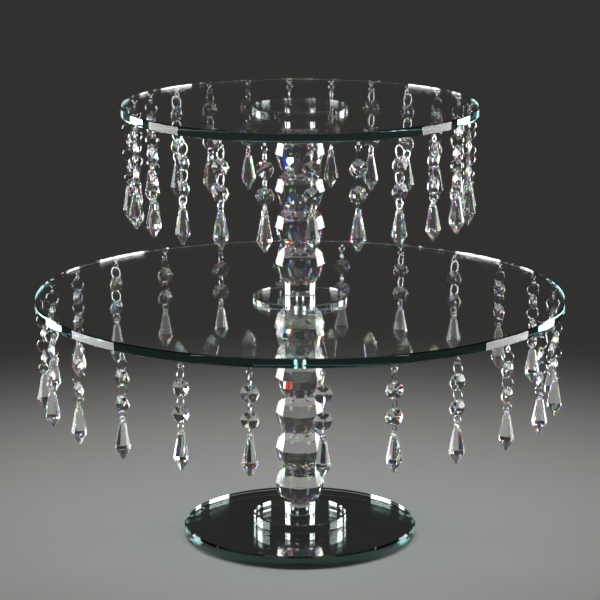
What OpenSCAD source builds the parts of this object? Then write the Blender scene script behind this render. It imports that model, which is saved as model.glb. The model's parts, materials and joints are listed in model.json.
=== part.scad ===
// Two-tier glass cake stand: a mirror base, a column of cut glass balls between
// chrome collars, two round glass plates, and a ring of swinging crystal pendants
// under each plate. Millimetres, +Z up, origin on the table at the column's axis.

/* [Plates] */
// Diameter of the lower plate
lower_plate_d = 450; // [340:5:600]
// Diameter of the upper plate
upper_plate_d = 300; // [220:5:330]
// Thickness of both glass plates
plate_t = 8; // [6:0.5:12]
// Polished chamfer along the plates' top and bottom edges
plate_chamfer = 0.8; // [0.2:0.1:1.5]

/* [Base] */
// Diameter of the mirror base
base_d = 200; // [140:5:300]
// Thickness of the mirror base
base_t = 10; // [6:0.5:14]
// Bevel along the base's top edge
base_bevel = 1.6; // [0.4:0.1:2.5]
// Diameter of each clear bumper pad
pad_d = 12; // [8:1:20]
// Thickness of each bumper pad
pad_t = 1.5; // [1:0.5:4]
// Number of bumper pads
pad_count = 4; // [3:1:8]
// Distance from the base's rim to the pads' centres
pad_inset = 20; // [12:1:30]

/* [Column] */
// Diameter of one cut glass ball, across its corners
ball_d = 42; // [32:1:60]
// Diameter of the flats on which the balls are bonded together, across their corners
ball_flat_d = 27.9; // [18:0.1:30]
// Height of the row of corners on each side of a ball's equator
ball_row_z = 9.8; // [6:0.1:11]
// Thickness of the glue line between two balls
bond_t = 0.04; // [0.02:0.01:0.1]
// Number of facets round a ball
ball_facets = 8; // [6:1:16]
// Balls under the lower plate
lower_balls = 5; // [3:1:7]
// Balls between the plates
upper_balls = 4; // [4:1:6]
// Diameter of the chrome collars
collar_d = 27; // [20:0.5:36]
// Height of the chrome collars
collar_h = 10.5; // [9:0.5:20]
// Chamfer on the collars' rims
collar_chamfer = 0.4; // [0.2:0.1:1]
// Diameter of the clear flange discs
flange_d = 80; // [60:1:110]
// Thickness of the flange discs
flange_t = 8; // [5:0.5:12]
// Chamfer on the flange discs
flange_chamfer = 0.7; // [0.2:0.1:1.5]

/* [Joining stud] */
// Diameter of the stud that joins the two columns through the lower plate
stud_d = 6; // [4:0.5:8]
// Depth to which the stud enters a collar
stud_grip = 8; // [5:0.5:8.5]
// Radial clearance of the stud in glass
glass_clearance = 0.5; // [0.2:0.1:1]
// Radial and end clearance of the stud in its collars
thread_clearance = 0.05; // [0.02:0.01:0.2]

/* [Pendants] */
// Pendants round each plate
pendants = 24; // [8:1:24]
// Distance from a plate's rim to its pendants
pendant_inset = 7; // [5:0.5:15]
// Angle of the lower plate's first pendant from the front
lower_turn = 4.7; // [0:0.1:15]
// Angle of the upper plate's first pendant from the front
upper_turn = 3.8; // [0:0.1:15]
// Wire diameter of the eyes and rings
wire_d = 1; // [0.8:0.1:1.2]
// Diameter of a hanger's pad, bonded under the plate
hanger_pad_d = 4.4; // [3:0.2:8]
// Thickness of that pad
hanger_pad_t = 1; // [0.6:0.1:2]
// Diameter of the stem between the pad and its eye
stem_d = 1.4; // [1.2:0.1:2]
// Distance from the plate's underside to the eye's outer edge
eye_drop = 2.8; // [1.5:0.1:5]
// Outer diameter of an eye
eye_d = 5.4; // [5.2:0.2:9]
// Outer diameter of a linking ring
ring_d = 11.8; // [10.4:0.2:14]
// Outer diameter of the smaller ring that holds a drop
drop_ring_d = 9.4; // [8.4:0.2:14]
// Gap by which one wire clears another where they hook together
hook_gap = 0.2; // [0.1:0.1:0.4]
// Width of an octagonal bead across its flats
bead_d = 14; // [12:0.5:20]
// Thickness of a bead at its table
bead_t = 5; // [3:0.5:5.5]
// Thickness of a bead at its girdle
bead_girdle_t = 1.2; // [0.6:0.2:2]
// Width of the small flat table on a bead's point
bead_table_d = 2.4; // [1:0.2:5]
// Distance from a bead's top and bottom corners to its holes
bead_hole_inset = 2.3; // [2.2:0.1:2.8]
// Diameter of the holes in the beads and drops
crystal_hole_d = 1.8; // [1.8:0.1:2]
// Length of an icicle drop
drop_l = 35.2; // [24:0.2:60]
// Greatest width of an icicle drop, across its flats
drop_d = 12.6; // [9:0.2:18]
// Part of a drop's length at which it is widest, from the top
drop_belly = 0.73; // [0.55:0.01:0.85]
// Width of a drop's blunt tip
drop_tip_d = 2.2; // [0.4:0.1:3]
// Width of a drop where its long taper begins, just under the shoulder
drop_neck_d = 6.4; // [4:0.1:8]
// Height of the slope from a drop's shoulder out to that width
drop_shoulder_h = 2; // [1:0.2:4]
// Width of a drop's shoulder, a little more than its tab's
drop_shoulder_w = 5.3; // [4.2:0.1:6.5]
// Width of the flat tab at a drop's top
drop_tab_w = 5; // [4:0.2:6]
// Thickness of that tab
drop_tab_t = 3; // [2:0.2:3]
// Distance from a drop's top to its hole
drop_hole_inset = 3.5; // [2.4:0.1:4]

/* [Hidden] */
$fn = 96;
ring_fn = 64;               // facets round an eye or a linking ring
wire_fn = 24;               // facets round a wire
small_fn = 32;              // facets round hangers and small holes
crystal_sides = 8;          // flat sides of a bead or a drop
crystal_turn = 180 / crystal_sides;
to_corner = 1 / cos(crystal_turn);  // from a width across flats to one across corners
pad_turn = 45;              // where the first bumper pad stands
cut = 1;                    // how far a cutting tool passes through a face

// Heights up the stand, from the table
base_z = pad_t;
base_flange_z = base_z + base_t;
lower_foot_z = base_flange_z + flange_t;
lower_balls_z = lower_foot_z + collar_h;
ball_pitch = sqrt(ball_d * ball_d - ball_flat_d * ball_flat_d);
lower_head_z = lower_balls_z + lower_balls * ball_pitch;
lower_flange_z = lower_head_z + collar_h;
lower_plate_z = lower_flange_z + flange_t;
upper_foot_z = lower_plate_z + plate_t;
upper_balls_z = upper_foot_z + collar_h;
upper_head_z = upper_balls_z + upper_balls * ball_pitch;
upper_flange_z = upper_head_z + collar_h;
upper_plate_z = upper_flange_z + flange_t;

// Down a pendant, from the plate's underside
eye_z = -eye_drop - eye_d / 2;
swing_z = -eye_drop - eye_d + wire_d / 2;
ring_r = (ring_d - wire_d) / 2;
drop_ring_r = (drop_ring_d - wire_d) / 2;
ring_1_z = swing_z + wire_d + hook_gap - ring_r;
bead_corner_d = bead_d * to_corner;
bead_pitch = bead_corner_d - 2 * bead_hole_inset;
bead_1_z = ring_1_z - ring_r - bead_pitch / 2;
ring_2_z = bead_1_z - bead_pitch / 2 - ring_r;
bead_2_z = ring_2_z - ring_r - bead_pitch / 2;
ring_3_z = bead_2_z - bead_pitch / 2 - drop_ring_r;
drop_hole_z = ring_3_z - drop_ring_r;
drop_top_z = drop_hole_z + drop_hole_inset;
pendant_step = 360 / pendants;

// Names count round the plate, from the first pendant
function pendant_name(tier, k) = str(tier, "_pendant_", k < 10 ? "0" : "", k);

// A disc with its rims chamfered: top and bottom chamfers are set apart
module chamfered_disc(d, h, bottom, top) {
    rotate_extrude()
        polygon([[0, 0], [d / 2 - bottom, 0], [d / 2, bottom], [d / 2, h - top],
                 [d / 2 - top, h], [0, h]]);
}

module torus(mean_r, wire) {
    rotate_extrude($fn = ring_fn)
        translate([mean_r, 0]) circle(d = wire, $fn = wire_fn);
}

// Places its children at every pendant of a plate
module at_pendants(plate_d, turn) {
    for (k = [0:pendants - 1])
        at_pendant(plate_d, turn, k) children();
}

module at_pendant(plate_d, turn, k) {
    rotate([0, 0, turn + k * pendant_step])
        translate([0, -(plate_d / 2 - pendant_inset), 0]) children();
}

// ---- Base ----

module base_pads() {
    color("gainsboro", 0.6)
        for (k = [0:pad_count - 1])
            rotate([0, 0, pad_turn + k * 360 / pad_count])
                translate([base_d / 2 - pad_inset, 0, 0]) cylinder(d = pad_d, h = pad_t);
}

module base_mirror() {
    color("lightslategray")
        translate([0, 0, base_z]) chamfered_disc(base_d, base_t, plate_chamfer, base_bevel);
}

// ---- Column ----

module flange_disc(z, drilled) {
    translate([0, 0, z]) difference() {
        chamfered_disc(flange_d, flange_t, flange_chamfer, flange_chamfer);
        if (drilled)
            translate([0, 0, -cut])
                cylinder(d = stud_d + 2 * glass_clearance, h = flange_t + 2 * cut);
    }
}

module flange_discs() {
    color("lightcyan", 0.5) {
        flange_disc(base_flange_z, false);
        flange_disc(lower_flange_z, true);
        flange_disc(upper_flange_z, false);
    }
}

module plain_collar(z) {
    translate([0, 0, z]) chamfered_disc(collar_d, collar_h, collar_chamfer, collar_chamfer);
}

// A collar with a threaded socket that opens downwards, or upwards at a column's head
module socket_collar(z, opens_up) {
    socket_h = stud_grip + thread_clearance;
    difference() {
        plain_collar(z);
        translate([0, 0, opens_up ? z + collar_h - socket_h : z - cut])
            cylinder(d = stud_d + 2 * thread_clearance, h = socket_h + cut);
    }
}

module collars() {
    color("silver") {
        plain_collar(lower_foot_z);
        socket_collar(lower_head_z, true);
        socket_collar(upper_foot_z, false);
        plain_collar(upper_head_z);
    }
}

// Joins both columns through the lower flange disc and the lower plate
module joining_stud() {
    color("silver")
        translate([0, 0, lower_flange_z - stud_grip])
            cylinder(d = stud_d, h = upper_foot_z - lower_flange_z + 2 * stud_grip);
}

// Rows of corners on a sphere: a flat, a row, the equator, a row and a flat. The three middle
// rows are in line, which makes four-sided faces, and each flat is turned half a facet, which
// makes triangles round it.
ball_flat_z = (ball_pitch - bond_t) / 2;
ball_rows = [-ball_flat_z, -ball_row_z, 0, ball_row_z, ball_flat_z];

module ball() {
    n = ball_facets;
    corners = [for (i = [0:4], k = [0:n - 1])
        let (z = ball_rows[i], r = sqrt(ball_d * ball_d / 4 - z * z),
             a = 360 * (k + (i % 4 == 0 ? 0.5 : 0)) / n)
        [r * cos(a), r * sin(a), z]];
    flats = [[for (k = [0:n - 1]) k], [for (k = [n - 1:-1:0]) 4 * n + k]];
    sides = [for (k = [0:n - 1]) let (next = (k + 1) % n) each [
        [n + next, k, n + k],
        [next, k, n + next],
        [2 * n + next, n + next, n + k, 2 * n + k],
        [3 * n + next, 2 * n + next, 2 * n + k, 3 * n + k],
        [4 * n + k, 3 * n + next, 3 * n + k],
        [4 * n + next, 3 * n + next, 4 * n + k]
    ]];
    polyhedron(points = corners, faces = concat(flats, sides));
}

module ball_stack(z, count) {
    color("white", 0.6)
        for (k = [0:count - 1])
            translate([0, 0, z + (k + 0.5) * ball_pitch]) ball();
}

module lower_column_balls() { ball_stack(lower_balls_z, lower_balls); }
module upper_column_balls() { ball_stack(upper_balls_z, upper_balls); }

// ---- Plates ----

module plate(d, z) {
    translate([0, 0, z]) chamfered_disc(d, plate_t, plate_chamfer, plate_chamfer);
}

module lower_plate() {
    color("paleturquoise", 0.4) difference() {
        plate(lower_plate_d, lower_plate_z);
        translate([0, 0, lower_plate_z - cut])
            cylinder(d = stud_d + 2 * glass_clearance, h = plate_t + 2 * cut);
    }
}

module upper_plate() {
    color("paleturquoise", 0.4) plate(upper_plate_d, upper_plate_z);
}

// ---- Pendants ----

// A round pad bonded under the glass, a short stem and an eye of wire
module hanger() {
    union() {
        translate([0, 0, -hanger_pad_t]) cylinder(d = hanger_pad_d, h = hanger_pad_t, $fn = small_fn);
        translate([0, 0, -eye_drop - wire_d / 2])
            cylinder(d = stem_d, h = eye_drop + wire_d / 2, $fn = small_fn);
        translate([0, 0, eye_z]) rotate([90, 0, 0]) torus((eye_d - wire_d) / 2, wire_d);
    }
}

module hangers(plate_d, plate_z, turn) {
    color("silver") at_pendants(plate_d, turn) translate([0, 0, plate_z]) hanger();
}

module lower_hangers() { hangers(lower_plate_d, lower_plate_z, lower_turn); }
module upper_hangers() { hangers(upper_plate_d, upper_plate_z, upper_turn); }

module crystal_hole(thickness) {
    rotate([90, 0, 0])
        cylinder(d = crystal_hole_d, h = thickness + 2 * cut, center = true, $fn = small_fn);
}

// Eight-sided bead, corner up: a low pyramid with a small table on both faces, and a hole
// at its top and bottom
module bead() {
    table_corner_d = bead_table_d * to_corner;
    slope_h = (bead_t - bead_girdle_t) / 2;
    difference() {
        rotate([90, 0, 0]) union() {
            cylinder(d = bead_corner_d, h = bead_girdle_t, center = true, $fn = crystal_sides);
            for (side = [0, 1]) mirror([0, 0, side])
                translate([0, 0, bead_girdle_t / 2])
                    cylinder(d1 = bead_corner_d, d2 = table_corner_d, h = slope_h,
                             $fn = crystal_sides);
        }
        for (side = [-1, 1])
            translate([0, 0, side * bead_pitch / 2]) crystal_hole(bead_t);
    }
}

// Flat drilled tab on top of an eight-sided icicle: shoulder, long taper out, short point
module drop() {
    shoulder_z = -drop_hole_inset - drop_ring_d / 4;
    belly_z = -drop_belly * drop_l;
    half_w = drop_tab_w / 2;
    corner_z = -drop_tab_w / 3;
    difference() {
        union() {
            translate([0, drop_tab_t / 2, 0]) rotate([90, 0, 0]) linear_extrude(drop_tab_t)
                polygon([[-half_w, shoulder_z - cut], [half_w, shoulder_z - cut],
                         [half_w, corner_z], [half_w / 2, 0], [-half_w / 2, 0],
                         [-half_w, corner_z]]);
            rotate([0, 0, crystal_turn]) rotate_extrude($fn = crystal_sides)
                polygon([[0, shoulder_z], [drop_shoulder_w / 2 * to_corner, shoulder_z],
                         [drop_neck_d / 2 * to_corner, shoulder_z - drop_shoulder_h],
                         [drop_d / 2 * to_corner, belly_z],
                         [drop_tip_d / 2 * to_corner, -drop_l], [0, -drop_l]]);
        }
        translate([0, 0, -drop_hole_inset]) crystal_hole(drop_tab_t);
    }
}

module pendant() {
    color("silver") {
        translate([0, 0, ring_1_z]) rotate([0, 90, 0]) torus(ring_r, wire_d);
        translate([0, 0, ring_2_z]) rotate([0, 90, 0]) torus(ring_r, wire_d);
        translate([0, 0, ring_3_z]) rotate([0, 90, 0]) torus(drop_ring_r, wire_d);
    }
    color("white", 0.7) {
        translate([0, 0, bead_1_z]) bead();
        translate([0, 0, bead_2_z]) bead();
        translate([0, 0, drop_top_z]) drop();
    }
}

module lower_pendant(k) {
    at_pendant(lower_plate_d, lower_turn, k - 1) translate([0, 0, lower_plate_z]) pendant();
}

module upper_pendant(k) {
    at_pendant(upper_plate_d, upper_turn, k - 1) translate([0, 0, upper_plate_z]) pendant();
}

base_pads();
base_mirror();
flange_discs();
collars();
lower_column_balls();
joining_stud();
lower_plate();
upper_column_balls();
upper_plate();
lower_hangers();
upper_hangers();
for (k = [1:pendants])
    lower_pendant(k);
for (k = [1:pendants])
    upper_pendant(k);
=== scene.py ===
# Two-tier glass cake stand: a mirror base, a column of cut crystal balls between chrome
# collars, two clear round plates, and a ring of swinging crystal pendants under each plate.
import json
import math

import bmesh
import bpy
from mathutils import Matrix, Vector


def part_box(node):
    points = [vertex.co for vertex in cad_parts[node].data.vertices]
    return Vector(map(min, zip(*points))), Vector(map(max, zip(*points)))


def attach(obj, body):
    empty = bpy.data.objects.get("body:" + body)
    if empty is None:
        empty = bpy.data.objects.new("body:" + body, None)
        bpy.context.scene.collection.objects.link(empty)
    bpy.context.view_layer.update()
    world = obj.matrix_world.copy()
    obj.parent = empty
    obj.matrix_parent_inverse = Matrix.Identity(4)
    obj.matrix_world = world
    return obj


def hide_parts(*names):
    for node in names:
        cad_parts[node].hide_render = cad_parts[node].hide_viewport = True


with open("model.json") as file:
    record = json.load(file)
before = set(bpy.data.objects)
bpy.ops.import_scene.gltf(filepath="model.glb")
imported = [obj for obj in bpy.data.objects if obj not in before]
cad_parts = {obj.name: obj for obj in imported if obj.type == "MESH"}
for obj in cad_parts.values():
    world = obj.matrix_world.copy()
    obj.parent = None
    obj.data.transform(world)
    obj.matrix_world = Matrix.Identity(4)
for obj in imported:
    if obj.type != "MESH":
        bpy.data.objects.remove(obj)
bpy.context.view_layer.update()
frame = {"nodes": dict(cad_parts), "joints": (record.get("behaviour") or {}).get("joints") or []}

# ---- Camera ----
# Seen from the front, a little above the upper plate, through a long lens.
EYE = (0.0, -2.186, 0.7147)
PITCH_DOWN = math.radians(13.06)
FOCAL_LENGTH = 158.1
SENSOR = 36.0

camera = bpy.data.objects.new("camera", bpy.data.cameras.new("camera"))
camera.data.lens = FOCAL_LENGTH
camera.data.sensor_width = SENSOR
camera.location = EYE
camera.rotation_euler = (math.pi / 2 - PITCH_DOWN, 0.0, 0.0)
bpy.context.scene.collection.objects.link(camera)
bpy.context.scene.camera = camera

# ---- Studio ----
# A pale table top in a soft grey room, with a pool of light painted on it: the table fades
# into the room's grey away from the middle. Two tall soft boxes stand on each side, one beside
# the object and one behind it, so that cut edges catch them. A broad dim one hangs overhead, and
# a weak one fills in from the front.
ROOM_GREY = (0.032, 0.031, 0.029, 1.0)
TABLE_PALE = (0.50, 0.495, 0.48, 1.0)
TABLE_RADIUS = 1.6
TABLE_SIDES = 128
# The painted pool of light: the table is fully pale out to the first distance and faded into the
# room's grey by the second.
PAINTED_POOL_OUT_TO = 0.14          # metres from the middle of the table
PAINTED_POOL_GONE_FROM = 0.80
STRIP_TALL = 1.06
STRIP_HEIGHT = 0.33         # of the middle of a strip
MIDDLE = (0.0, 0.0, 0.19)   # what most of the lights face

scene = bpy.context.scene
scene.cycles.max_bounces = 32
scene.cycles.transmission_bounces = 32
scene.cycles.glossy_bounces = 12
scene.cycles.transparent_max_bounces = 32
scene.view_settings.view_transform = "Standard"

world = bpy.data.worlds.new("room")
world.use_nodes = True
world.node_tree.nodes["Background"].inputs["Color"].default_value = ROOM_GREY
scene.world = world


def new_nodes(name):
    """An empty node material and a shorthand that adds a node to it."""
    material = bpy.data.materials.new(name)
    material.use_nodes = True
    tree = material.node_tree
    tree.nodes.clear()

    def add(kind, **values):
        node = tree.nodes.new(kind)
        for key, value in values.items():
            if hasattr(node, key):
                setattr(node, key, value)
            else:
                node.inputs[key.replace("_", " ")].default_value = value
        return node

    return material, tree.links.new, add


def painted_pool_table_material():
    """Pale matt laminate with a painted pool of light that fades into the room's grey away from
    the middle.
    """
    material, link, add = new_nodes("table_painted_pool")
    place = add("ShaderNodeTexCoord")
    # Painted pool of light: pale at the middle of the table, fading to the room's grey further
    # out.
    length = add("ShaderNodeVectorMath", operation="LENGTH")
    fall = add("ShaderNodeMapRange", interpolation_type="SMOOTHERSTEP")
    fall.inputs["From Min"].default_value = PAINTED_POOL_OUT_TO
    fall.inputs["From Max"].default_value = PAINTED_POOL_GONE_FROM
    surface = add("ShaderNodeBsdfPrincipled", Roughness=0.6)
    surface.inputs["Base Color"].default_value = TABLE_PALE
    beyond = add("ShaderNodeBsdfTransparent")
    mix = add("ShaderNodeMixShader")
    out = add("ShaderNodeOutputMaterial")
    link(place.outputs["Object"], length.inputs[0])
    link(length.outputs["Value"], fall.inputs["Value"])
    link(fall.outputs["Result"], mix.inputs["Fac"])
    link(surface.outputs["BSDF"], mix.inputs[1])
    link(beyond.outputs["BSDF"], mix.inputs[2])
    link(mix.outputs["Shader"], out.inputs["Surface"])
    return material


bpy.ops.object.select_all(action="DESELECT")
bpy.ops.mesh.primitive_circle_add(
    vertices=TABLE_SIDES, radius=TABLE_RADIUS, fill_type="NGON")
table = bpy.context.object
table.name = "table_top"
table.data.materials.append(painted_pool_table_material())


def soft_box(name, place, aim, width, height, power):
    """A rectangular light that faces a point and isn't seen itself."""
    light = bpy.data.lights.new(name, "AREA")
    light.shape = "RECTANGLE"
    light.size, light.size_y, light.energy = width, height, power
    box = bpy.data.objects.new(name, light)
    box.location = place
    box.rotation_euler = (Vector(aim) - Vector(place)).to_track_quat("-Z", "Y").to_euler()
    box.visible_camera = False
    scene.collection.objects.link(box)


for side, name in ((-1, "left"), (1, "right")):
    soft_box(f"side_strip_{name}", place=(side * 1.60, 0.11, STRIP_HEIGHT), aim=MIDDLE,
             width=0.80, height=STRIP_TALL, power=18)
    soft_box(f"rear_strip_{name}", place=(side * 1.32, 1.07, STRIP_HEIGHT), aim=MIDDLE,
             width=0.34, height=STRIP_TALL, power=7.5)
soft_box("overhead", place=(0.0, -0.1, 1.9), aim=(0.0, 0.0, 0.0),
         width=1.6, height=1.2, power=4)
soft_box("front_fill", place=(-0.9, -2.4, 1.5), aim=MIDDLE, width=0.9, height=0.9, power=2)

# ---- Bumper pads ----
# Four clear soft discs stuck under the base near its rim, each moulded with a rounded lower
# edge. They keep the silvering off the table.
BODY = "stand"
PAD_RADIUS = 0.006
PAD_ROUND = 0.0006
PAD_SIDES = 40
ROUND_SEGMENTS = 3          # of a rounded rim
ONE_ROW = 1e-6              # metres: corners closer in height than this are in one row
SMOOTH = 30                 # degrees: a round side is smooth and its rims are crisp
NOISE_DETAIL = 3.0
NOISE_RANGE = (0.3, 0.7)    # nearly all of the noise lies between these


def deselect():
    bpy.ops.object.select_all(action="DESELECT")


def add_cylinder(name, radius, low, high, sides, centre=(0.0, 0.0)):
    """A cylinder between two heights, with its place already in its mesh."""
    deselect()
    bpy.ops.mesh.primitive_cylinder_add(
        vertices=sides, radius=radius, depth=high - low,
        location=(centre[0], centre[1], (low + high) / 2))
    piece = bpy.context.object
    piece.name = piece.data.name = name
    bpy.ops.object.transform_apply(location=True, rotation=True, scale=True)
    return piece


def pick(piece):
    """Selects one piece alone and makes it the active one."""
    deselect()
    piece.select_set(True)
    bpy.context.view_layer.objects.active = piece


def edit(piece):
    pick(piece)
    bpy.ops.object.mode_set(mode="EDIT")


def choose_edges(piece, wanted):
    """In edit mode, selects just the edges whose two ends both pass wanted()."""
    bpy.ops.mesh.select_mode(type="EDGE")
    bpy.ops.mesh.select_all(action="DESELECT")
    mesh = bmesh.from_edit_mesh(piece.data)
    for edge in mesh.edges:
        edge.select_set(all(wanted(v.co) for v in edge.verts))
    bmesh.update_edit_mesh(piece.data)


def chamfer_rim(piece, height, offset, segments=1):
    """Bevels the rim of an upright disc at one height: flat, or rounded by more segments."""
    edit(piece)
    choose_edges(piece, lambda co: abs(co.z - height) < ONE_ROW)
    bpy.ops.mesh.bevel(offset=offset, segments=segments, affect="EDGES")
    bpy.ops.object.mode_set(mode="OBJECT")


def finish_piece(piece, material, body, node, crease=SMOOTH):
    """Gives a piece its finish, the body it rides on and the node it replaces. Edges sharper
    than the crease are left crisp."""
    pick(piece)
    bpy.ops.object.shade_smooth_by_angle(angle=math.radians(crease))
    piece.data.materials.clear()
    piece.data.materials.append(material)
    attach(piece, body)
    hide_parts(node)


def object_noise(add, link, scale):
    """Noise on the piece's own coordinates, in cycles per metre."""
    place = add("ShaderNodeTexCoord")
    noise = add("ShaderNodeTexNoise")
    noise.inputs["Scale"].default_value = scale
    noise.inputs["Detail"].default_value = NOISE_DETAIL
    link(place.outputs["Object"], noise.inputs["Vector"])
    return noise.outputs["Fac"]


def vary(add, link, source, socket, low, high):
    """Drives a socket between two values from a pattern."""
    spread = add("ShaderNodeMapRange")
    spread.inputs["From Min"].default_value = NOISE_RANGE[0]
    spread.inputs["From Max"].default_value = NOISE_RANGE[1]
    spread.inputs["To Min"].default_value = low
    spread.inputs["To Max"].default_value = high
    link(source, spread.inputs["Value"])
    link(spread.outputs["Result"], socket)


def bumper_material():
    """Clear soft plastic with a faintly uneven, half matt skin."""
    material, link, add = new_nodes("clear_bumper")
    surface = add("ShaderNodeBsdfPrincipled", IOR=1.42, Transmission_Weight=0.8)
    surface.inputs["Base Color"].default_value = (0.86, 0.88, 0.89, 1.0)
    vary(add, link, object_noise(add, link, 900.0), surface.inputs["Roughness"], 0.18, 0.34)
    out = add("ShaderNodeOutputMaterial")
    link(surface.outputs["BSDF"], out.inputs["Surface"])
    return material


pads_low, pads_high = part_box("base_pads")
pad_offset = (pads_high.x - pads_low.x) / 2 - PAD_RADIUS
clear_bumper = bumper_material()
for number, (sx, sy) in enumerate(((1, 1), (-1, 1), (-1, -1), (1, -1)), start=1):
    pad = add_cylinder(f"base_pad_{number}", PAD_RADIUS, pads_low.z, pads_high.z, PAD_SIDES,
                       (sx * pad_offset, sy * pad_offset))
    chamfer_rim(pad, pads_low.z, PAD_ROUND, ROUND_SEGMENTS)
    finish_piece(pad, clear_bumper, BODY, "base_pads")

# ---- Mirror base ----
# A thick disc of float glass, bevelled round its top and polished, with its underside silvered
# and painted. The silvering is a thin disc of its own, set into the underside of the glass.
DISC_SIDES = 256
BASE_BEVEL = 0.0016
ARRIS = 0.0008
SILVER_INSET = 0.0002       # from the edge of the arris
SILVER_DEPTH = 0.00015      # up into the glass
SILVER_PROUD = 0.00005      # below it
GLASS_IOR = 1.52
GLASS_SHADOW = (0.90, 0.96, 0.94, 1.0)
BUMP_STRENGTH = 0.3


def clear_glass(name, tint, density):
    """Float glass: faint wipe marks in the polish, a green cast that builds up with depth, and
    a thin shadow, as light passes straight through to what is below."""
    material, link, add = new_nodes(name)
    surface = add("ShaderNodeBsdfPrincipled", IOR=GLASS_IOR, Transmission_Weight=1.0)
    surface.inputs["Base Color"].default_value = (1.0, 1.0, 1.0, 1.0)
    vary(add, link, object_noise(add, link, 22.0), surface.inputs["Roughness"], 0.0, 0.004)
    lamp = add("ShaderNodeLightPath")
    through = add("ShaderNodeBsdfTransparent")
    through.inputs["Color"].default_value = GLASS_SHADOW
    mix = add("ShaderNodeMixShader")
    depth = add("ShaderNodeVolumeAbsorption")
    depth.inputs["Color"].default_value = tint
    depth.inputs["Density"].default_value = density
    out = add("ShaderNodeOutputMaterial")
    link(lamp.outputs["Is Shadow Ray"], mix.inputs["Fac"])
    link(surface.outputs["BSDF"], mix.inputs[1])
    link(through.outputs["BSDF"], mix.inputs[2])
    link(mix.outputs["Shader"], out.inputs["Surface"])
    link(depth.outputs["Volume"], out.inputs["Volume"])
    return material


def metal(name, colour, smooth, rough, mark_scale, bump=0.0):
    """Plated or deposited metal whose polish varies a little over the surface."""
    material, link, add = new_nodes(name)
    surface = add("ShaderNodeBsdfPrincipled", Metallic=1.0)
    surface.inputs["Base Color"].default_value = colour
    marks = object_noise(add, link, mark_scale)
    vary(add, link, marks, surface.inputs["Roughness"], smooth, rough)
    if bump:
        relief = add("ShaderNodeBump", Distance=bump)
        relief.inputs["Strength"].default_value = BUMP_STRENGTH
        link(marks, relief.inputs["Height"])
        link(relief.outputs["Normal"], surface.inputs["Normal"])
    out = add("ShaderNodeOutputMaterial")
    link(surface.outputs["BSDF"], out.inputs["Surface"])
    return material


base_low, base_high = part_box("base_mirror")
base_radius = (base_high.x - base_low.x) / 2
base_glass = add_cylinder("base_glass", base_radius, base_low.z, base_high.z, DISC_SIDES)
chamfer_rim(base_glass, base_low.z, ARRIS)
chamfer_rim(base_glass, base_high.z, BASE_BEVEL)
base_float_glass = clear_glass("base_float_glass", tint=(0.45, 0.62, 0.60, 1.0), density=28.0)
finish_piece(base_glass, base_float_glass, BODY, "base_mirror")

silvering = add_cylinder("base_silvering", base_radius - ARRIS - SILVER_INSET,
                         base_low.z - SILVER_PROUD, base_low.z + SILVER_DEPTH, DISC_SIDES)
silver = metal("silvering", (0.86, 0.88, 0.88, 1.0), smooth=0.005, rough=0.02, mark_scale=30.0)
finish_piece(silvering, silver, BODY, "base_mirror")

# ---- Joining stud ----
# A plain steel stud, mostly out of sight, that joins the two columns through the lower plate. Its
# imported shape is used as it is.
stud = frame["nodes"]["joining_stud"]
stud.data.materials.clear()
stud.data.materials.append(
    metal("stud_steel", (0.60, 0.60, 0.61, 1.0), smooth=0.22, rough=0.42, mark_scale=700.0,
          bump=0.00005))

# ---- Flange discs ----
# Three small clear discs, bonded on the base and under each plate, that spread the column's
# load. Each is cut from clear glass with both arrises polished, and the middle one is drilled
# for the stud.
FLANGE_ARRIS = 0.0007
FLANGE_SIDES = 160
STUD_HOLE_RADIUS = 0.0035
STUD_HOLE_SIDES = 32
DRILL_OVER = 0.002          # how far a drill stands out of what it cuts
JOINT_GAP = 0.00002         # where two clear pieces lie face to face


def cut_away(piece, cutter):
    """Takes a cutter's shape out of a piece."""
    pick(piece)
    cut = piece.modifiers.new("cut", "BOOLEAN")
    cut.operation, cut.solver, cut.object = "DIFFERENCE", "EXACT", cutter
    bpy.ops.object.modifier_apply(modifier=cut.name)
    bpy.data.objects.remove(cutter)


def drill_for_stud(piece, low, high):
    cut_away(piece, add_cylinder("drill", STUD_HOLE_RADIUS, low - DRILL_OVER, high + DRILL_OVER,
                                 STUD_HOLE_SIDES))


collars_low, collars_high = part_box("collars")
lower_plate_low, lower_plate_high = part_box("lower_plate")
upper_plate_low, upper_plate_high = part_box("upper_plate")
discs_low, discs_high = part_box("flange_discs")
flange_radius = (discs_high.x - discs_low.x) / 2
flange_thick = collars_low.z - base_high.z
flange_glass = clear_glass("flange_glass", tint=(0.62, 0.90, 0.85, 1.0), density=4.0)
for name, low in (("base_flange", base_high.z),
                  ("lower_flange", lower_plate_low.z - flange_thick),
                  ("upper_flange", upper_plate_low.z - flange_thick)):
    low, high = low + JOINT_GAP, low + flange_thick - JOINT_GAP
    disc = add_cylinder(name, flange_radius, low, high, FLANGE_SIDES)
    chamfer_rim(disc, low, FLANGE_ARRIS)
    chamfer_rim(disc, high, FLANGE_ARRIS)
    if name == "lower_flange":
        drill_for_stud(disc, low, high)
    finish_piece(disc, flange_glass, BODY, "flange_discs")

# ---- Chrome collars ----
# Four turned brass collars, chrome plated, one at each end of both columns. The two next to the
# lower plate have a threaded socket for the stud.
COLLAR_ROUND = 0.0005
COLLAR_SIDES = 96
SOCKET_RADIUS = 0.00305
SOCKET_DEPTH = 0.00805

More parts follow.
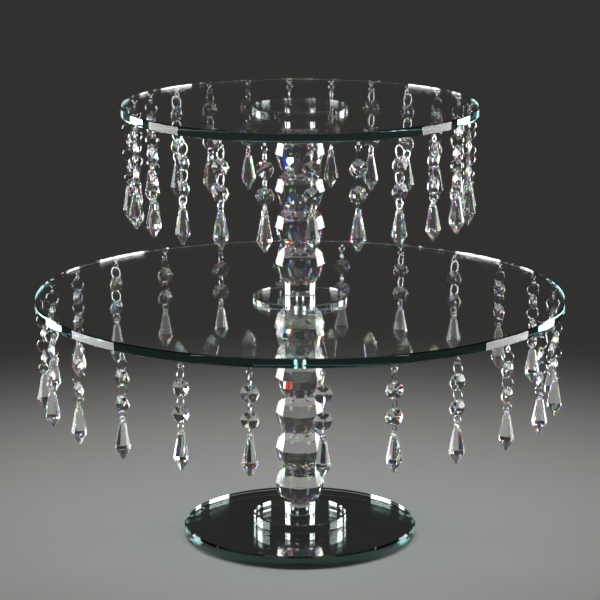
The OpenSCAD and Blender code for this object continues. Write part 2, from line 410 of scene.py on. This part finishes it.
lower_balls_low, lower_balls_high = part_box("lower_column_balls")
upper_balls_low, upper_balls_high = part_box("upper_column_balls")
collar_radius = (collars_high.x - collars_low.x) / 2
chrome = metal("chrome", (0.87, 0.88, 0.89, 1.0), smooth=0.02, rough=0.06, mark_scale=260.0,
               bump=0.00002)
for name, low, high in (
        ("lower_foot_collar", collars_low.z, lower_balls_low.z),
        ("lower_head_collar", lower_balls_high.z, lower_plate_low.z - flange_thick),
        ("upper_foot_collar", lower_plate_high.z, upper_balls_low.z),
        ("upper_head_collar", upper_balls_high.z, upper_plate_low.z - flange_thick)):
    low, high = low + JOINT_GAP, high - JOINT_GAP
    collar = add_cylinder(name, collar_radius, low, high, COLLAR_SIDES)
    chamfer_rim(collar, low, COLLAR_ROUND, ROUND_SEGMENTS)
    chamfer_rim(collar, high, COLLAR_ROUND, ROUND_SEGMENTS)
    if name == "lower_head_collar":
        cut_away(collar, add_cylinder("drill", SOCKET_RADIUS, high - SOCKET_DEPTH,
                                      high + DRILL_OVER, STUD_HOLE_SIDES))
    elif name == "upper_foot_collar":
        cut_away(collar, add_cylinder("drill", SOCKET_RADIUS, low - DRILL_OVER,
                                      low + SOCKET_DEPTH, STUD_HOLE_SIDES))
    finish_piece(collar, chrome, BODY, "collars")

# ---- Column balls ----
# Nine cut crystal balls, ground flat at top and bottom and bonded flat to flat. Each has two
# belts of four-sided facets round its middle and triangles above and below them, between
# corners that lie on a sphere.
LOWER_BALLS = 5
UPPER_BALLS = 4
BALL_RADIUS = 0.021
BALL_SIDES = 8
BALL_ROW = 0.0098
BALL_EDGE = 0.00018
EDGE_SEGMENTS = 2           # of a dulled edge
STAGGER = 0.5               # a row of corners turned by half a facet
ONE_FACET = 0.5             # degrees: triangles flatter than this are one facet
CRISP = 3                   # degrees: every facet stays flat
RED_IOR, GREEN_IOR, BLUE_IOR = 1.500, 1.530, 1.565
CRYSTAL_SHADOW = (0.82, 0.83, 0.84, 1.0)


def crystal(name, fire):
    """Cut crystal: most of the light bends alike, and the part given by fire is split into red,
    green and blue that bend by different amounts, so edges throw colours."""
    material, link, add = new_nodes(name)
    polish = object_noise(add, link, 160.0)
    total = None
    plain = 1 - fire
    for colour, ior in (((plain, plain, plain, 1), GREEN_IOR), ((fire, 0, 0, 1), RED_IOR),
                        ((0, fire, 0, 1), GREEN_IOR), ((0, 0, fire, 1), BLUE_IOR)):
        band = add("ShaderNodeBsdfGlass", IOR=ior)
        band.inputs["Color"].default_value = colour
        vary(add, link, polish, band.inputs["Roughness"], 0.0, 0.008)
        if total is None:
            total = band.outputs["BSDF"]
            continue
        both = add("ShaderNodeAddShader")
        link(total, both.inputs[0])
        link(band.outputs["BSDF"], both.inputs[1])
        total = both.outputs["Shader"]
    lamp = add("ShaderNodeLightPath")
    through = add("ShaderNodeBsdfTransparent")
    through.inputs["Color"].default_value = CRYSTAL_SHADOW
    mix = add("ShaderNodeMixShader")
    out = add("ShaderNodeOutputMaterial")
    link(lamp.outputs["Is Shadow Ray"], mix.inputs["Fac"])
    link(total, mix.inputs[1])
    link(through.outputs["BSDF"], mix.inputs[2])
    link(mix.outputs["Shader"], out.inputs["Surface"])
    return material


def add_ring_of_corners(radius, height, sides, turn):
    """A level ring of corners round the middle, joined by edges only."""
    deselect()
    bpy.ops.mesh.primitive_circle_add(
        vertices=sides, radius=radius, location=(0, 0, height), rotation=(0, 0, turn))
    ring = bpy.context.object
    bpy.ops.object.transform_apply(location=True, rotation=True, scale=True)
    return ring


def cut_stone(name, rows, sides, edge):
    """A convex cut stone: rows of corners, skinned with flat facets whose edges are just dulled.
    rows is (radius, height, part of a facet turned)."""
    rings = [add_ring_of_corners(radius, height, sides, turn * 2 * math.pi / sides)
             for radius, height, turn in rows]
    deselect()
    for ring in rings:
        ring.select_set(True)
    stone = rings[0]
    bpy.context.view_layer.objects.active = stone
    bpy.ops.object.join()
    stone.name = stone.data.name = name
    edit(stone)
    bpy.ops.mesh.select_all(action="SELECT")
    bpy.ops.mesh.convex_hull()
    bpy.ops.mesh.select_all(action="SELECT")
    bpy.ops.mesh.dissolve_limited(angle_limit=math.radians(ONE_FACET))
    bpy.ops.mesh.select_all(action="SELECT")
    bpy.ops.mesh.bevel(offset=edge, segments=EDGE_SEGMENTS, affect="EDGES")
    bpy.ops.object.mode_set(mode="OBJECT")
    return stone


def copy_of(piece, name, matrix):
    """Another piece with its own mesh, placed in that mesh."""
    copy = piece.copy()
    copy.data = piece.data.copy()
    copy.name = copy.data.name = name
    copy.data.transform(matrix)
    scene.collection.objects.link(copy)
    return copy


column_crystal = crystal("column_crystal", fire=0.18)
for tier, low, high, count in (("lower", lower_balls_low, lower_balls_high, LOWER_BALLS),
                               ("upper", upper_balls_low, upper_balls_high, UPPER_BALLS)):
    pitch = (high.z - low.z + 2 * JOINT_GAP) / count
    flat = pitch / 2 - JOINT_GAP
    flat_radius = math.sqrt(BALL_RADIUS ** 2 - flat ** 2)
    row_radius = math.sqrt(BALL_RADIUS ** 2 - BALL_ROW ** 2)
    model = cut_stone("ball_model", (
        (flat_radius, -flat, STAGGER), (row_radius, -BALL_ROW, 0), (BALL_RADIUS, 0, 0),
        (row_radius, BALL_ROW, 0), (flat_radius, flat, STAGGER)), BALL_SIDES, BALL_EDGE)
    for number in range(count):
        height = low.z - JOINT_GAP + (number + 0.5) * pitch
        ball = copy_of(model, f"{tier}_ball_{number + 1}", Matrix.Translation((0, 0, height)))
        finish_piece(ball, column_crystal, BODY, f"{tier}_column_balls", CRISP)
    bpy.data.objects.remove(model)

# ---- Plates ----
# Two discs of clear tempered float glass with polished arrises. The lower one has a hole at its
# centre for the stud.
PLATE_SIDES = 384

plate_glass = clear_glass("plate_glass", tint=(0.30, 0.68, 0.66, 1.0), density=5.0)
for tier, low, high in (("lower", lower_plate_low, lower_plate_high),
                        ("upper", upper_plate_low, upper_plate_high)):
    plate = add_cylinder(f"{tier}_glass_plate", (high.x - low.x) / 2, low.z, high.z, PLATE_SIDES)
    chamfer_rim(plate, low.z, ARRIS)
    chamfer_rim(plate, high.z, ARRIS)
    if tier == "lower":
        drill_for_stud(plate, low.z, high.z)
    finish_piece(plate, plate_glass, BODY, f"{tier}_plate")

# ---- Hangers ----
# Small chrome fittings bonded under the plates, one over each pendant: a round pad, a short stem
# and a closed eye of wire that stands square to the rim's radius.
WIRE = 0.0010
WIRE_SIDES = 10
STEM_WIDTH = 0.0014
STEM_SIDES = 16
HANGER_PAD_WIDTH = 0.0044
HANGER_PAD_THICK = 0.0010
HANGER_PAD_ROUND = 0.0003
HANGER_PAD_SIDES = 28
EYE_WIDTH = 0.0054
EYE_AROUND = 24             # straight lengths in the round of an eye


def add_ring(name, width, height, turn, around):
    """A round ring of the wire, of an outer width, standing in a plane that turn gives."""
    deselect()
    bpy.ops.mesh.primitive_torus_add(
        major_segments=around, minor_segments=WIRE_SIDES, major_radius=(width - WIRE) / 2,
        minor_radius=WIRE / 2, location=(0, 0, height), rotation=turn)
    ring = bpy.context.object
    ring.name = ring.data.name = name
    bpy.ops.object.transform_apply(location=True, rotation=True, scale=True)
    return ring


def join(name, pieces):
    deselect()
    for piece in pieces:
        piece.select_set(True)
    bpy.context.view_layer.objects.active = pieces[0]
    bpy.ops.object.join()
    pieces[0].name = pieces[0].data.name = name
    return pieces[0]


def pendant_place(joint, height):
    """What takes a piece modelled at the middle, with the plate's underside at height 0, to its
    own place under the rim."""
    axis = joint["axis"]
    turn = math.atan2(axis[1], axis[0])
    x, y, _ = joint["pos_m"]
    return Matrix.Translation((x, y, height)) @ Matrix.Rotation(turn, 4, "Z")


hung = {tier: [j for j in frame["joints"] if j["child"].startswith(tier)]
        for tier in ("lower", "upper")}
swing_depth = lower_plate_low.z - hung["lower"][0]["pos_m"][2]
eye_centre = -swing_depth - WIRE / 2 + EYE_WIDTH / 2
eye = add_ring("eye", EYE_WIDTH, eye_centre, (math.pi / 2, 0, 0), EYE_AROUND)
stem = add_cylinder("stem", STEM_WIDTH / 2, eye_centre + (EYE_WIDTH - WIRE) / 2,
                    -HANGER_PAD_THICK, STEM_SIDES)
hanger_pad = add_cylinder("pad", HANGER_PAD_WIDTH / 2, -HANGER_PAD_THICK, -JOINT_GAP,
                          HANGER_PAD_SIDES)
chamfer_rim(hanger_pad, -HANGER_PAD_THICK, HANGER_PAD_ROUND, ROUND_SEGMENTS)
hanger_model = join("hanger_model", [hanger_pad, stem, eye])
for tier, low in (("lower", lower_plate_low), ("upper", upper_plate_low)):
    row = [copy_of(hanger_model, f"{tier}_hanger", pendant_place(joint, low.z))
           for joint in hung[tier]]
    finish_piece(join(f"{tier}_row_of_hangers", row), chrome, BODY,
                 f"{tier}_hangers")
bpy.data.objects.remove(hanger_model)

# ---- Pendants ----
# Each hangs from its eye: three wire rings link two octagonal beads and an icicle drop. Beads
# and drop are cut and polished crystal, drilled from front to back for the rings.
PENDANT_SIDES = 8
RING_WIDTH = 0.0118
DROP_RING_WIDTH = 0.0094
RING_AROUND = 32
BEAD_WIDTH = 0.014
BEAD_THICK = 0.005
BEAD_GIRDLE = 0.0012
BEAD_TABLE = 0.0024
BEAD_HOLE_INSET = 0.0023
BEAD_EDGE = 0.0003
HOLE_RADIUS = 0.0009
HOLE_SIDES = 16
DRILL_REACH = 0.01
DROP_HOLE_INSET = 0.0035
DROP_WIDTH = 0.0126
DROP_NECK_WIDTH = 0.0064
DROP_TIP_WIDTH = 0.0022
DROP_SHOULDER_WIDTH = 0.0053
DROP_TAB_WIDTH = 0.005
DROP_TAB_THICK = 0.003
DROP_TAB_STEP = 0.0006      # height in which the shoulder narrows to the tab
DROP_TAB_TAPER = 0.8        # of its thickness that the tab keeps at its top
DROP_SHOULDER_SLOPE = 0.002
DROP_BELLY = 0.73           # of the drop's length, down from its top
DROP_EDGE = 0.0004
DROP_TAB_EDGE = 0.00015
ACROSS_CORNERS = 1 / math.cos(math.pi / PENDANT_SIDES)

bead_pitch = BEAD_WIDTH * ACROSS_CORNERS - 2 * BEAD_HOLE_INSET
ring_reach = (RING_WIDTH - WIRE) / 2
drop_ring_reach = (DROP_RING_WIDTH - WIRE) / 2
first_low, first_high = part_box(hung["lower"][0]["child"])
pendant_top = first_high.z - lower_plate_low.z
pendant_tip = first_low.z - lower_plate_low.z
ring_1 = pendant_top - RING_WIDTH / 2
bead_1 = ring_1 - ring_reach - bead_pitch / 2
ring_2 = bead_1 - bead_pitch / 2 - ring_reach
bead_2 = ring_2 - ring_reach - bead_pitch / 2
ring_3 = bead_2 - bead_pitch / 2 - drop_ring_reach
drop_hole = ring_3 - drop_ring_reach
drop_top = drop_hole + DROP_HOLE_INSET
drop_length = drop_top - pendant_tip

TO_FRONT = Matrix.Rotation(math.pi / 2, 4, "X")
bead_model = cut_stone("bead_model", (
    (BEAD_TABLE / 2 * ACROSS_CORNERS, -BEAD_THICK / 2, 0),
    (BEAD_WIDTH / 2 * ACROSS_CORNERS, -BEAD_GIRDLE / 2, 0),
    (BEAD_WIDTH / 2 * ACROSS_CORNERS, BEAD_GIRDLE / 2, 0),
    (BEAD_TABLE / 2 * ACROSS_CORNERS, BEAD_THICK / 2, 0)), PENDANT_SIDES, BEAD_EDGE)
bead_model.data.transform(TO_FRONT)


def drill_through(piece, *heights):
    """Cuts holes from front to back."""
    drills = [add_cylinder("drill", HOLE_RADIUS, -DRILL_REACH, DRILL_REACH, HOLE_SIDES)
              for _ in heights]
    for drill, height in zip(drills, heights):
        drill.data.transform(Matrix.Translation((0, 0, height)) @ TO_FRONT)
    cut_away(piece, join("drills", drills))


drill_through(bead_model, bead_pitch / 2, -bead_pitch / 2)

# The drop is drawn up from its tip, row by row: height, half width, half thickness.
shoulder = drop_hole - DROP_RING_WIDTH / 4
drop_rows = (
    (drop_top - DROP_BELLY * drop_length, DROP_WIDTH / 2, DROP_WIDTH / 2),
    (shoulder - DROP_SHOULDER_SLOPE, DROP_NECK_WIDTH / 2, DROP_NECK_WIDTH / 2),
    (shoulder, DROP_SHOULDER_WIDTH / 2, DROP_SHOULDER_WIDTH / 2),
    (shoulder + DROP_TAB_STEP, DROP_TAB_WIDTH / 2, DROP_TAB_THICK / 2),
    (drop_top - DROP_TAB_WIDTH / 3, DROP_TAB_WIDTH / 2, DROP_TAB_THICK / 2),
    (drop_top, DROP_TAB_WIDTH / 4, DROP_TAB_THICK / 2 * DROP_TAB_TAPER),
)
deselect()
bpy.ops.mesh.primitive_circle_add(
    vertices=PENDANT_SIDES, radius=DROP_TIP_WIDTH / 2 * ACROSS_CORNERS, fill_type="NGON",
    location=(0, 0, pendant_tip), rotation=(0, 0, math.pi / PENDANT_SIDES))
drop_model = bpy.context.object
drop_model.name = drop_model.data.name = "drop_model"
bpy.ops.object.transform_apply(location=True, rotation=True, scale=True)
edit(drop_model)
bpy.ops.mesh.select_all(action="SELECT")
width = depth = DROP_TIP_WIDTH / 2
height = pendant_tip
for row_height, row_width, row_depth in drop_rows:
    bpy.ops.mesh.extrude_region_move(
        TRANSFORM_OT_translate={"value": (0, 0, row_height - height)})
    bpy.ops.transform.resize(value=(row_width / width, row_depth / depth, 1),
                             center_override=(0, 0, row_height))
    height, width, depth = row_height, row_width, row_depth
bpy.ops.mesh.select_all(action="SELECT")
bpy.ops.mesh.normals_make_consistent(inside=False)
choose_edges(drop_model, lambda co: co.z < shoulder - ONE_ROW)
bpy.ops.mesh.bevel(offset=DROP_EDGE, segments=EDGE_SEGMENTS, affect="EDGES")
choose_edges(drop_model, lambda co: co.z > shoulder - ONE_ROW)
bpy.ops.mesh.bevel(offset=DROP_TAB_EDGE, segments=1, affect="EDGES")
bpy.ops.object.mode_set(mode="OBJECT")
drill_through(drop_model, drop_hole)

rings_model = join("rings_model", [
    add_ring("ring", width, height, (0, math.pi / 2, 0), RING_AROUND)
    for width, height in (
        (RING_WIDTH, ring_1), (RING_WIDTH, ring_2), (DROP_RING_WIDTH, ring_3))])
beads_model = join("beads_model", [
    copy_of(bead_model, "bead", Matrix.Translation((0, 0, height)))
    for height in (bead_1, bead_2)])
bpy.data.objects.remove(bead_model)

pendant_crystal = crystal("pendant_crystal", fire=0.10)
for tier, low in (("lower", lower_plate_low), ("upper", upper_plate_low)):
    for joint in hung[tier]:
        name, place = joint["child"], pendant_place(joint, low.z)
        for part, model, material, slot, crease in (
                ("rings", rings_model, chrome, "chrome", SMOOTH),
                ("beads", beads_model, pendant_crystal, "crystal", CRISP),
                ("drop", drop_model, pendant_crystal, "crystal", CRISP)):
            finish_piece(copy_of(model, f"{name}_{part}", place), material, name, name,
                         crease)
for model in (rings_model, beads_model, drop_model):
    bpy.data.objects.remove(model)
